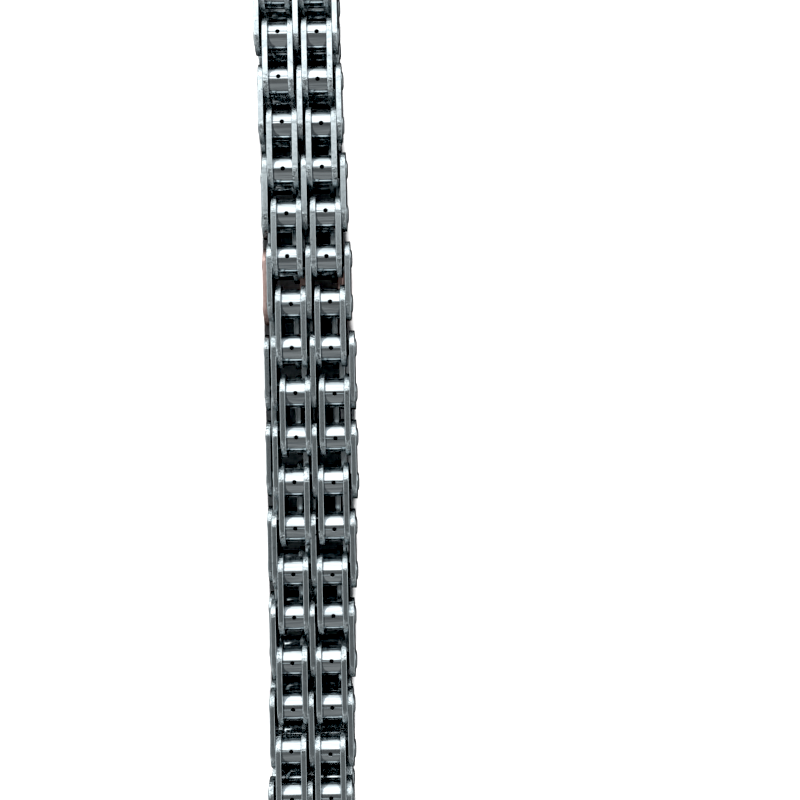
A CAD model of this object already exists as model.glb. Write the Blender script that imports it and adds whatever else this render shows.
"""Looks of an endless duplex bush chain for a timing drive, lying folded flat on a pale floor."""
import math
import random

import bmesh
import bpy
from mathutils import Matrix, Vector


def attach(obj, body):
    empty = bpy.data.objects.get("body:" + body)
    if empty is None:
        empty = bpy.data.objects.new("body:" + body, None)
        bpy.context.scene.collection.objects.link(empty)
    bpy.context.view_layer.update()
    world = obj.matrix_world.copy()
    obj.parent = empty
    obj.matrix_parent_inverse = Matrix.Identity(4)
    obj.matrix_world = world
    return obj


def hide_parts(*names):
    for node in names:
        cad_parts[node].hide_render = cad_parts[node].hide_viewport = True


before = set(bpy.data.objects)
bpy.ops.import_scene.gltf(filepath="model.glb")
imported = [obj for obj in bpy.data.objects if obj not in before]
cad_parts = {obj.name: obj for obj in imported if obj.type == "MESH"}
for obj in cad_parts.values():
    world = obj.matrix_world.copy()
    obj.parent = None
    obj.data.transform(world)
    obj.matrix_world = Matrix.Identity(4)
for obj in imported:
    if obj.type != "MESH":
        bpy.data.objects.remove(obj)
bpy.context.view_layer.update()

# Sizes of the chain in millimetres. X runs along the pins, Y along the runs and Z up.
MM = 0.001
PITCH = 9.525
INNER_PLATE_HEIGHT = 8.1
OUTER_PLATE_HEIGHT = 7.4
INNER_PLATE_THICKNESS = 1.15
OUTER_PLATE_THICKNESS = 1.1
MIDDLE_PLATE_THICKNESS = 1.15
TOOTH_WIDTH = 4.2
BUSH_DIAMETER = 6.35
NECK_DIAMETER = 4.9
OIL_HOLE_DIAMETER = 0.9
PIN_DIAMETER = 3.28
RIVET_DIAMETER = 4.0
RIVET_HEIGHT = 0.4
SIDE_GAP = 0.32
RUNNING_GAP = 0.05
SEAT_GAP = 0.01
LEAN_GAP = 0.03
RUN_LINKS = 19
MARKED_LINK = 4

LINKS = 2 * RUN_LINKS + 2
HALF_RUN = (RUN_LINKS - 1) // 2
FAR_END = HALF_RUN + 2
UPPER_MIDDLE = FAR_END + HALF_RUN + 1
NEAR_END = FAR_END + RUN_LINKS + 1
STRAND_WIDTH = TOOTH_WIDTH + 2 * INNER_PLATE_THICKNESS
STRAND_SPACING = STRAND_WIDTH + 2 * SIDE_GAP + MIDDLE_PLATE_THICKNESS
OUTER_INSIDE = (STRAND_SPACING + STRAND_WIDTH) / 2 + SIDE_GAP
OUTER_OUTSIDE = OUTER_INSIDE + OUTER_PLATE_THICKNESS
BORE_RADIUS = PIN_DIAMETER / 2 + RUNNING_GAP
BARREL_RADIUS = BUSH_DIAMETER / 2
BARREL_END = TOOTH_WIDTH / 2 - SEAT_GAP
LOWER_HEIGHT = max(INNER_PLATE_HEIGHT, OUTER_PLATE_HEIGHT) / 2
LEAN_STEP = SIDE_GAP - LEAN_GAP
RUN_DRIFT = (HALF_RUN + 1) * LEAN_STEP
BOW_X = (LEAN_STEP + RUN_DRIFT) / 2

# Small forms in millimetres. The riveted dome is given by depths under its top and radii,
# from the dimple in its middle outwards.
PLATE_BEVEL = 0.11
HOLE_BEVEL = 0.06
BUSH_BEVEL = 0.05
SEAM_WIDTH = 0.16
SEAM_DEPTH = 0.1
RIVET_DOME = ((0.09, 0), (0.06, 0.5), (0, 0.95), (0.02, 1.3), (0.1, 1.7), (0.2, 1.9))
RIVET_RIM_DEPTH = 0.28
RIVET_FOOT_RISE = 0.02
RIVET_FOOT_INSET = 0.03
HOLE_SWING_DEG = 9
HOLE_SWING_SEED = 7

# Fineness of the meshes
ARC_STEPS = 26
SIDE_STEPS = 5
MIDDLE_STEPS = 8
BEVEL_STEPS = 3
ROUND_STEPS = 72
WELD = 0.002
SMOOTH_ANGLE = math.radians(38)

# Material slots of a mesh after its first one, and what counts as the wall of an oil hole
SIDE_SLOT = 1
FACE_SLOT = 2
HOLE_WALL_TILT = 0.3
HOLE_WALL_REACH = 1.1


def in_upper_run(n):
    return FAR_END < n < NEAR_END


def drift(n):
    """How far link n lies to the -X side of the middle link of the upper run, which lies in a bow."""
    return abs(n - UPPER_MIDDLE) * LEAN_STEP if in_upper_run(n) else RUN_DRIFT


def link_matrix(n):
    """Where link n lies, as in the solids."""
    if n < FAR_END:
        along, turn = (n - 1) * PITCH, 0
    elif n == FAR_END:
        along, turn = RUN_LINKS / 2 * PITCH, 90
    elif n < NEAR_END:
        along, turn = (UPPER_MIDDLE - n) * PITCH, 180
    elif n == NEAR_END:
        along, turn = -RUN_LINKS / 2 * PITCH, 270
    else:
        along, turn = (n - LINKS - 1) * PITCH, 0
    rise = 1 if in_upper_run(n) else 0.5 if n in (FAR_END, NEAR_END) else 0
    place = Vector((BOW_X - drift(n), along, LOWER_HEIGHT + PITCH * rise)) * MM
    return Matrix.Translation(place) @ Matrix.Rotation(math.radians(turn), 4, "X")


# Meshes

def bridge(bm, first, second, smooth, skipped=(), slot=0):
    """Fills the band between two closed rings of points, apart from the edges skipped."""
    count = len(first)
    for i in range(count):
        if i in skipped:
            continue
        j = (i + 1) % count
        face = bm.faces.new((first[i], first[j], second[j], second[i]))
        face.smooth = smooth
        face.material_index = slot


def bevel_arc(size):
    """Steps (inwards, up) of a rounded edge of that size, from its wall to its face."""
    steps = []
    for i in range(BEVEL_STEPS + 1):
        angle = math.pi / 2 * i / BEVEL_STEPS
        steps.append((size * (1 - math.cos(angle)), size * (math.sin(angle) - 1)))
    return steps


def half_outline(radius):
    """Points (y, z) round half a plate, from the foot of its round end and back along its middle."""
    points = []
    for i in range(ARC_STEPS + 1):
        angle = math.pi * (i / ARC_STEPS - 0.5)
        points.append((PITCH / 2 + radius * math.cos(angle), radius * math.sin(angle)))
    for i in range(1, SIDE_STEPS + 1):
        points.append((PITCH / 2 * (1 - i / SIDE_STEPS), radius))
    for i in range(1, MIDDLE_STEPS + 1):
        points.append((0, radius * (1 - 2 * i / MIDDLE_STEPS)))
    for i in range(1, SIDE_STEPS):
        points.append((PITCH / 2 * i / SIDE_STEPS, -radius))
    return points


def add_plate(bm, x, thickness, height, hole_diameter):
    """A plate with round ends, two holes and rounded edges, from x up by its thickness."""
    radius = height / 2
    half = thickness / 2
    middle = set(range(ARC_STEPS + SIDE_STEPS, ARC_STEPS + SIDE_STEPS + MIDDLE_STEPS))
    bearings = [math.atan2(z, y - PITCH / 2) for y, z in half_outline(radius)]
    made = []
    for mirror in (1, -1):

        def ring(points, up):
            return [bm.verts.new((x + half + up, mirror * y, z)) for y, z in points]

        def outer_ring(inwards, up):
            return ring(half_outline(radius - inwards), up)

        def hole_ring(outwards, up):
            reach = hole_diameter / 2 + outwards
            return ring([(PITCH / 2 + reach * math.cos(a), reach * math.sin(a)) for a in bearings], up)

        outside = [outer_ring(i, -half - u) for i, u in reversed(bevel_arc(PLATE_BEVEL))]
        outside += [outer_ring(i, half + u) for i, u in bevel_arc(PLATE_BEVEL)]
        inside = [hole_ring(i, half + u) for i, u in reversed(bevel_arc(HOLE_BEVEL))]
        inside += [hole_ring(i, -half - u) for i, u in bevel_arc(HOLE_BEVEL)]
        for first, second in zip(outside, outside[1:]):
            bridge(bm, first, second, True, middle)
        for first, second in zip(inside, inside[1:]):
            bridge(bm, first, second, True)
        bridge(bm, outside[-1], inside[0], False, slot=SIDE_SLOT)
        bridge(bm, inside[-1], outside[0], False, slot=SIDE_SLOT)
        made += [v for points in outside + inside for v in points]
    loose = [v for v in made if not v.link_faces]
    bmesh.ops.delete(bm, geom=loose, context="VERTS")
    kept = [v for v in made if v.is_valid]
    bmesh.ops.remove_doubles(bm, verts=kept, dist=WELD)


def add_turned(bm, y, profile):
    """A solid turned about an axis along X from a closed profile of (x, radius) points."""
    rings = []
    for x, radius in profile:
        if radius == 0:
            rings.append([bm.verts.new((x, y, 0))])
            continue
        ring = []
        for i in range(ROUND_STEPS):
            angle = 2 * math.pi * i / ROUND_STEPS
            ring.append(bm.verts.new((x, y + radius * math.sin(angle), radius * math.cos(angle))))
        rings.append(ring)
    for first, second in zip(rings, rings[1:] + rings[:1]):
        if len(first) == len(second) == 1:
            continue
        if len(first) == 1 or len(second) == 1:
            tip, ring = (first[0], second) if len(first) == 1 else (second[0], first)
            for i in range(ROUND_STEPS):
                bm.faces.new((tip, ring[i], ring[(i + 1) % ROUND_STEPS])).smooth = True
            continue
        bridge(bm, first, second, True)


def mirrored(half):
    """A whole profile from the half at +X, whose points run from its outer end inwards."""
    return half + [(-x, radius) for x, radius in reversed(half)]


def finished_mesh(bm, name):
    """The mesh in metres, with its faces turned outwards."""
    bmesh.ops.recalc_face_normals(bm, faces=bm.faces[:])
    bmesh.ops.scale(bm, vec=(MM, MM, MM), verts=bm.verts[:])
    mesh = bpy.data.meshes.new(name)
    bm.to_mesh(mesh)
    bm.free()
    return mesh


def scratch_object(bm, name):
    """An object in the scene that serves only to make a cut."""
    made = bpy.data.objects.new(name, finished_mesh(bm, name))
    bpy.context.scene.collection.objects.link(made)
    return made


def bush_blank():
    """A bush before its cuts, with its barrel and its two necks."""
    neck = NECK_DIAMETER / 2
    neck_end = STRAND_WIDTH / 2
    rim = HOLE_BEVEL
    half = [(neck_end - rim, BORE_RADIUS), (neck_end, BORE_RADIUS + rim)]
    half += [(neck_end, neck - rim), (neck_end - rim, neck), (BARREL_END, neck)]
    half += [(BARREL_END + u, BARREL_RADIUS - i) for i, u in reversed(bevel_arc(BUSH_BEVEL))]
    bm = bmesh.new()
    add_turned(bm, 0, mirrored(half))
    return scratch_object(bm, "bush_blank")


def oil_hole_drill():
    """A drill with a countersink, which points from -Z into the bore of a bush."""
    hole = OIL_HOLE_DIAMETER / 2
    tip = (BORE_RADIUS - BARREL_RADIUS) / 2
    mouth = BARREL_RADIUS + HOLE_BEVEL
    profile = [(tip, 0), (tip, hole), (BARREL_RADIUS - HOLE_BEVEL, hole)]
    profile += [(mouth, hole + 2 * HOLE_BEVEL), (mouth, 0)]
    bm = bmesh.new()
    add_turned(bm, 0, profile)
    bmesh.ops.rotate(bm, verts=bm.verts[:], matrix=Matrix.Rotation(math.radians(90), 3, "Y"))
    return scratch_object(bm, "oil_hole_drill")


def seam_cutter():
    """A wedge along the barrel of a bush, for the butt seam of its rolled strip."""
    mouth = -BARREL_RADIUS - SEAM_DEPTH
    corners = [(-SEAM_WIDTH, mouth), (SEAM_WIDTH, mouth), (0, SEAM_DEPTH - BARREL_RADIUS)]
    bm = bmesh.new()
    ends = []
    for x in (-BARREL_END - BUSH_BEVEL, BARREL_END + BUSH_BEVEL):
        ends.append([bm.verts.new((x, y, z)) for y, z in corners])
    bridge(bm, ends[0], ends[1], False)
    for end in ends:
        bm.faces.new(end)
    return scratch_object(bm, "seam_cutter")


def bush_mesh():
    """One bush about its own middle, with its oil hole and its seam."""
    blank = bush_blank()
    cutters = (oil_hole_drill(), seam_cutter())
    for cutter in cutters:
        cutting = blank.modifiers.new(cutter.name, "BOOLEAN")
        cutting.operation = "DIFFERENCE"
        cutting.object = cutter
        cutting.solver = "EXACT"
    bpy.context.view_layer.update()
    depsgraph = bpy.context.evaluated_depsgraph_get()
    mesh = bpy.data.meshes.new_from_object(blank.evaluated_get(depsgraph))
    for made in (blank, *cutters):
        bpy.data.objects.remove(made)

    bm = bmesh.new()
    bm.from_mesh(mesh)
    bmesh.ops.remove_doubles(bm, verts=bm.verts[:], dist=WELD * MM)
    bmesh.ops.dissolve_degenerate(bm, edges=bm.edges[:], dist=WELD * MM)
    bm.to_mesh(mesh)
    bm.free()

    reach = HOLE_WALL_REACH * OIL_HOLE_DIAMETER / 2 * MM
    for face in mesh.polygons:
        across = math.hypot(face.center.x, face.center.y)
        if abs(face.normal.z) < HOLE_WALL_TILT and across < reach:
            face.material_index = SIDE_SLOT
    return mesh


def bushes_mesh(name, one, swings):
    """The four bushes of an inner link, pressed in with their oil holes not quite in line."""
    bm = bmesh.new()
    for strand in (-1, 1):
        for side in (-1, 1):
            before = set(bm.verts)
            bm.from_mesh(one)
            added = [v for v in bm.verts if v not in before]
            swing = math.radians(swings.uniform(-HOLE_SWING_DEG, HOLE_SWING_DEG))
            bmesh.ops.rotate(bm, verts=added, matrix=Matrix.Rotation(swing, 3, "X"))
            move = Vector((strand * STRAND_SPACING / 2, side * PITCH / 2, 0)) * MM
            bmesh.ops.translate(bm, verts=added, vec=move)
    mesh = bpy.data.meshes.new(name)
    bm.to_mesh(mesh)
    bm.free()
    return mesh


def inner_plates_mesh():
    """The four inner plates of an inner link, two in each strand."""
    hole = NECK_DIAMETER + 2 * SEAT_GAP
    bm = bmesh.new()
    for strand in (-1, 1):
        for x in (-STRAND_WIDTH / 2, TOOTH_WIDTH / 2):
            place = strand * STRAND_SPACING / 2 + x
            add_plate(bm, place, INNER_PLATE_THICKNESS, INNER_PLATE_HEIGHT, hole)
    return finished_mesh(bm, "inner_plates")


def outer_plates_mesh():
    """The two outer plates and the middle plate of an outer link."""
    hole = PIN_DIAMETER + 2 * SEAT_GAP
    bm = bmesh.new()
    for x in (-OUTER_OUTSIDE, OUTER_INSIDE):
        add_plate(bm, x, OUTER_PLATE_THICKNESS, OUTER_PLATE_HEIGHT, hole)
    add_plate(bm, -MIDDLE_PLATE_THICKNESS / 2, MIDDLE_PLATE_THICKNESS, OUTER_PLATE_HEIGHT, hole)
    for face in bm.faces:
        if min(abs(v.co.x) for v in face.verts) > OUTER_OUTSIDE - SEAT_GAP:
            face.material_index = FACE_SLOT
    return finished_mesh(bm, "outer_plates")


def pins_mesh():
    """The two pins of an outer link, whose ends are riveted over into low domes with a small dimple."""
    shank = PIN_DIAMETER / 2
    head = RIVET_DIAMETER / 2
    foot = OUTER_OUTSIDE + SEAT_GAP
    top = OUTER_OUTSIDE + RIVET_HEIGHT
    half = [(top - depth, radius) for depth, radius in RIVET_DOME]
    half += [(top - RIVET_RIM_DEPTH, head), (foot + RIVET_FOOT_RISE, head)]
    half += [(foot, head - RIVET_FOOT_INSET), (foot, shank)]
    bm = bmesh.new()
    for side in (-1, 1):
        add_turned(bm, side * PITCH / 2, mirrored(half))
    for face in bm.faces:
        if max(abs(v.co.x) for v in face.verts) < foot + SEAT_GAP:
            face.material_index = SIDE_SLOT
    return finished_mesh(bm, "pins")


# Materials. Sizes of marks are in millimetres, and fades are between two values of a noise.
NOISE_ROUGHNESS = 0.62
PIECE_SHIFT = (1.7, 2.3, 3.1)
GRAIN_SIZE = 1.0
STAIN_SIZE = 2.0
SPECK_SIZE = 0.5
SCUFF_SIZE = 0.75
LINK_END = (4.2, 6.4)
STAIN_FADE = (0.36, 0.66)
GLOSS_FADE = (0.3, 0.7)
SPECK_START = 0.78
SCUFFED_SPECK_START = 0.64
SPECK_FADE = 0.06
MORE_SPECKS_AT_ENDS = 0.05
SPECK_SHADE = 0.35


class Nodes:
    """Adds nodes to a tree. A value given to one is a number, a tuple or another node's output."""

    def __init__(self, tree):
        self.tree = tree

    def put(self, value, socket):
        if isinstance(value, bpy.types.NodeSocket):
            self.tree.links.new(value, socket)
        else:
            socket.default_value = value

    def add(self, kind, **values):
        made = self.tree.nodes.new(kind)
        for key, value in values.items():
            self.put(value, made.inputs[key.replace("_", " ")])
        return made

    def math(self, operation, *values):
        made = self.add("ShaderNodeMath")
        made.operation = operation
        for value, socket in zip(values, made.inputs):
            self.put(value, socket)
        return made.outputs[0]

    def fade(self, value, stops, levels=(0, 1)):
        """Goes smoothly from one level to the other as the value goes from one stop to the other."""
        made = self.add("ShaderNodeMapRange", Value=value, From_Min=stops[0], From_Max=stops[1],
                        To_Min=levels[0], To_Max=levels[1])
        made.interpolation_type = "SMOOTHSTEP"
        return made.outputs["Result"]

    def noise(self, vector, size, detail, distortion=0.0):
        made = self.add("ShaderNodeTexNoise", Vector=vector, Scale=1 / (size * MM), Detail=detail,
                        Roughness=NOISE_ROUGHNESS, Distortion=distortion)
        return made.outputs["Fac"]

    def stretched(self, vector, scale):
        return self.add("ShaderNodeMapping", Vector=vector, Scale=scale).outputs[0]

    def mix(self, factor, first, second):
        made = self.tree.nodes.new("ShaderNodeMix")
        made.data_type = "RGBA"
        for key, value in (("Factor", factor), ("A", first), ("B", second)):
            self.put(value, made.inputs[key])
        return made.outputs["Result"]

    def own_place(self, place):
        """The place moved by an amount that differs from piece to piece."""
        shift = self.add("ShaderNodeVectorMath")
        shift.operation = "SCALE"
        self.put(PIECE_SHIFT, shift.inputs[0])
        self.put(self.add("ShaderNodeObjectInfo").outputs["Random"], shift.inputs["Scale"])
        moved = self.add("ShaderNodeVectorMath")
        moved.operation = "ADD"
        self.put(place, moved.inputs[0])
        self.put(shift.outputs[0], moved.inputs[1])
        return moved.outputs[0]


def oiled_metal(name, color, dark_color, roughness, rough_spread, grain, grain_height, scuff_height=0.0,
                streak=(1, 1, 1)):
    """Bare metal under a film of oil, with drawn grain, stains, dark specks and scuffed link ends."""
    material = bpy.data.materials.new(name)
    material.use_nodes = True
    nodes = Nodes(material.node_tree)
    shader = material.node_tree.nodes["Principled BSDF"]
    shader.inputs["Metallic"].default_value = 1.0

    place = nodes.add("ShaderNodeTexCoord").outputs["Object"]
    own = nodes.own_place(place)
    along = nodes.add("ShaderNodeSeparateXYZ", Vector=place).outputs["Y"]
    at_ends = nodes.fade(nodes.math("ABSOLUTE", along), [distance * MM for distance in LINK_END])

    stain = nodes.noise(nodes.stretched(own, streak), STAIN_SIZE, detail=5.0, distortion=0.6)
    more = nodes.math("MULTIPLY", at_ends, MORE_SPECKS_AT_ENDS)
    grit = nodes.math("ADD", nodes.noise(own, SPECK_SIZE, detail=3.0), more)
    start = SCUFFED_SPECK_START if scuff_height else SPECK_START
    speck = nodes.fade(grit, (start, start + SPECK_FADE))
    stained = nodes.mix(nodes.fade(stain, STAIN_FADE), (*color, 1), (*dark_color, 1))
    speck_color = [SPECK_SHADE * part for part in dark_color]
    nodes.put(nodes.mix(speck, stained, (*speck_color, 1)), shader.inputs["Base Color"])
    rough_levels = (roughness - rough_spread, roughness + rough_spread)
    nodes.put(nodes.fade(stain, GLOSS_FADE, rough_levels), shader.inputs["Roughness"])

    drawn = nodes.noise(nodes.stretched(own, grain), GRAIN_SIZE, detail=6.0)
    height = nodes.math("MULTIPLY", drawn, grain_height * MM)
    if scuff_height:
        scuffs = nodes.noise(own, SCUFF_SIZE, detail=3.0, distortion=1.2)
        scuffs = nodes.math("MULTIPLY", scuffs, scuff_height * MM)
        height = nodes.math("ADD", height, nodes.math("MULTIPLY", at_ends, scuffs))
    bump = nodes.add("ShaderNodeBump", Strength=1.0, Distance=1.0, Height=height)
    nodes.put(bump.outputs["Normal"], shader.inputs["Normal"])
    return material


STEEL = (0.53, 0.59, 0.61)
DARK_STEEL = (0.4, 0.45, 0.47)
edge_steel = oiled_metal(
    "plate_edge_steel", STEEL, DARK_STEEL,
    roughness=0.2, rough_spread=0.04, grain=(6, 0.6, 6), grain_height=0.006, scuff_height=0.17,
)
side_steel = oiled_metal(
    "plate_side_steel", (0.2, 0.215, 0.23), (0.12, 0.135, 0.15),
    roughness=0.2, rough_spread=0.04, grain=(1.5, 0.8, 5), grain_height=0.001,
)
face_steel = oiled_metal(
    "plate_face_steel", (0.47, 0.51, 0.53), (0.33, 0.36, 0.38),
    roughness=0.3, rough_spread=0.06, grain=(3, 0.6, 8), grain_height=0.003,
)
bush_steel = oiled_metal(
    "bush_steel", (0.58, 0.63, 0.65), (0.36, 0.4, 0.42),
    roughness=0.13, rough_spread=0.03, grain=(9, 3, 3), grain_height=0.0004, streak=(0.15, 2.4, 2.4),
)
pin_steel = oiled_metal(
    "pin_steel", STEEL, DARK_STEEL,
    roughness=0.3, rough_spread=0.06, grain=(4, 4, 4), grain_height=0.006,
)
shank_steel = oiled_metal(
    "oily_shank_steel", (0.02, 0.021, 0.022), (0.01, 0.01, 0.011),
    roughness=0.45, rough_spread=0.05, grain=(4, 4, 4), grain_height=0.003,
)
copper = oiled_metal(
    "copper_plating", (0.5, 0.36, 0.33), (0.37, 0.26, 0.235),
    roughness=0.42, rough_spread=0.06, grain=(6, 0.6, 6), grain_height=0.015, scuff_height=0.15,
)


# Pieces

def add_piece(name, mesh, materials, link_number, node):
    piece = bpy.data.objects.new(name, mesh)
    bpy.context.scene.collection.objects.link(piece)
    piece.matrix_world = link_matrix(link_number)
    for place, material in zip(piece.material_slots, materials):
        place.link = "OBJECT"
        place.material = material
    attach(piece, f"link_{link_number:02d}")
    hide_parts(node)


def ready(mesh, slots):
    """Gives a finished mesh its material slots, which each piece fills, and its sharp corners."""
    for _ in range(slots):
        mesh.materials.append(edge_steel)
    mesh.set_sharp_from_angle(angle=SMOOTH_ANGLE)
    return mesh


inner_plates = ready(inner_plates_mesh(), slots=2)
outer_plates = ready(outer_plates_mesh(), slots=3)
pins = ready(pins_mesh(), slots=2)
one_bush = bush_mesh()
swings = random.Random(HOLE_SWING_SEED)
for n in range(1, LINKS + 1):
    if n % 2:
        node = f"inner_link_{n:02d}"
        bushes = ready(bushes_mesh(f"bushes_{n:02d}", one_bush, swings), slots=2)
        plate_finish = (edge_steel, side_steel)
        add_piece(f"link_{n:02d}_inner_plates", inner_plates, plate_finish, n, node)
        add_piece(f"link_{n:02d}_bushes", bushes, (bush_steel, shank_steel), n, node)
        continue
    marked = n == MARKED_LINK
    node = f"outer_link_{n:02d}{'_marked' if marked else ''}_plates"
    plate_finish = (copper,) * 3 if marked else (edge_steel, side_steel, face_steel)
    add_piece(f"link_{n:02d}_outer_plates", outer_plates, plate_finish, n, node)
    node = f"outer_link_{n:02d}_pins"
    add_piece(f"link_{n:02d}_riveted_pins", pins, (pin_steel, shank_steel), n, node)
bpy.data.meshes.remove(one_bush)


# Floor, light and camera, in metres
FLOOR_HALF_WIDTH = 1.5
FLOOR_DROP = 0.00002
FLOOR_COLOR = (0.88, 0.88, 0.88, 1)
FLOOR_LIGHT_STRENGTH = 3.7
FLOOR_LIGHT_ANGLE = math.radians(2.5)
FLOOR_LIGHT_PLACE = (0.059, 0.9, 0.75)
CAMERA_PLACE = (0.01955, 0.0029, 0.2496)
CAMERA_ROLL = math.radians(-1.1)
CAMERA_LENS_MM = 49.6
CAMERA_SENSOR_MM = 36
CAMERA_CLIP = (0.005, 10)
BLACK_LEVEL = 0.012

# The studio's light by direction. Each pair is the parts along X, Y or Z of a direction's unit vector
# between which the light fades, and each radiance is its level.
STUDIO_TINT = (0.97, 0.99, 1.0, 1)
SOFTBOX_EDGE = (0.14, 0.33)
SOFTBOX_FOOT = (-0.2, 0.6)
SOFTBOX_SIDES = (0.4, 0.8)
SOFTBOX_RADIANCE = 2.3
ROOM_SIDES = (0.3, 0.7)
ROOM_RADIANCE = 0.19
SIDE_RADIANCE = 1.6
BACK_EDGE = (-0.55, -0.25)
BACK_RADIANCE = 0.15
HORIZON = (-0.1, 0.2)
NADIR = (-0.8, -0.3)
GROUND_SHARE = 0.3


def add_floor():
    """A pale floor, which the metal doesn't mirror."""
    bm = bmesh.new()
    bmesh.ops.create_grid(bm, x_segments=1, y_segments=1, size=FLOOR_HALF_WIDTH)
    mesh = bpy.data.meshes.new("floor")
    bm.to_mesh(mesh)
    bm.free()
    floor = bpy.data.objects.new("floor", mesh)
    floor.location.z = -FLOOR_DROP
    bpy.context.scene.collection.objects.link(floor)
    material = bpy.data.materials.new("pale_floor")
    material.use_nodes = True
    shader = material.node_tree.nodes["Principled BSDF"]
    shader.inputs["Base Color"].default_value = FLOOR_COLOR
    shader.inputs["Roughness"].default_value = 0.9
    shader.inputs["Specular IOR Level"].default_value = 0.1
    mesh.materials.append(material)
    floor.visible_glossy = False


def add_floor_light(name, side):
    """A distant light beyond one end of the chain, for the floor alone: the metal doesn't mirror it."""
    light = bpy.data.lights.new(name, "SUN")
    light.angle = FLOOR_LIGHT_ANGLE
    light.energy = FLOOR_LIGHT_STRENGTH
    lamp = bpy.data.objects.new(name, light)
    x, y, z = FLOOR_LIGHT_PLACE
    lamp.location = (x, side * y, z)
    lamp.rotation_euler = lamp.location.to_track_quat("Z", "Y").to_euler()
    lamp.visible_camera = False
    lamp.visible_glossy = False
    bpy.context.scene.collection.objects.link(lamp)


def add_world():
    """A dim room that only the metal shows: a wide soft light fills its +Y side, its two sides are
    bright, its -Y side glows faintly, and below the horizon it darkens."""
    world = bpy.data.worlds.new("studio")
    bpy.context.scene.world = world
    world.use_nodes = True
    world.cycles_visibility.diffuse = False
    nodes = Nodes(world.node_tree)
    background = world.node_tree.nodes["Background"]
    background.inputs["Color"].default_value = STUDIO_TINT
    direction = nodes.add("ShaderNodeTexCoord").outputs["Generated"]
    x, y, z = nodes.add("ShaderNodeSeparateXYZ", Vector=direction).outputs
    aside = nodes.math("ABSOLUTE", x)
    softbox = nodes.fade(y, SOFTBOX_EDGE, (0, SOFTBOX_RADIANCE))
    outline = nodes.math("MULTIPLY", nodes.fade(z, SOFTBOX_FOOT), nodes.fade(aside, SOFTBOX_SIDES, (1, 0)))
    room = nodes.fade(aside, ROOM_SIDES, (ROOM_RADIANCE, SIDE_RADIANCE))
    behind = nodes.fade(y, BACK_EDGE, (BACK_RADIANCE, 0))
    level = nodes.math("MULTIPLY", nodes.fade(z, HORIZON, (GROUND_SHARE, 1)), nodes.fade(z, NADIR))
    around = nodes.math("MULTIPLY", nodes.math("ADD", room, behind), level)
    strength = nodes.math("ADD", nodes.math("MULTIPLY", softbox, outline), around)
    nodes.put(strength, background.inputs["Strength"])


def add_camera():
    """A camera that looks straight down."""
    data = bpy.data.cameras.new("camera")
    data.sensor_width = CAMERA_SENSOR_MM
    data.lens = CAMERA_LENS_MM
    data.clip_start, data.clip_end = CAMERA_CLIP
    camera = bpy.data.objects.new("camera", data)
    camera.location = CAMERA_PLACE
    camera.rotation_euler = (0, 0, CAMERA_ROLL)
    bpy.context.scene.collection.objects.link(camera)
    bpy.context.scene.camera = camera


def set_view():
    """Plain colours, with the deepest shadows cut to black."""
    view = bpy.context.scene.view_settings
    view.view_transform = "Standard"
    view.use_curve_mapping = True
    view.curve_mapping.black_level = (BLACK_LEVEL,) * 3
    view.curve_mapping.update()


add_floor()
add_floor_light("floor_light_near", -1)
add_floor_light("floor_light_far", 1)
add_world()
add_camera()
set_view()
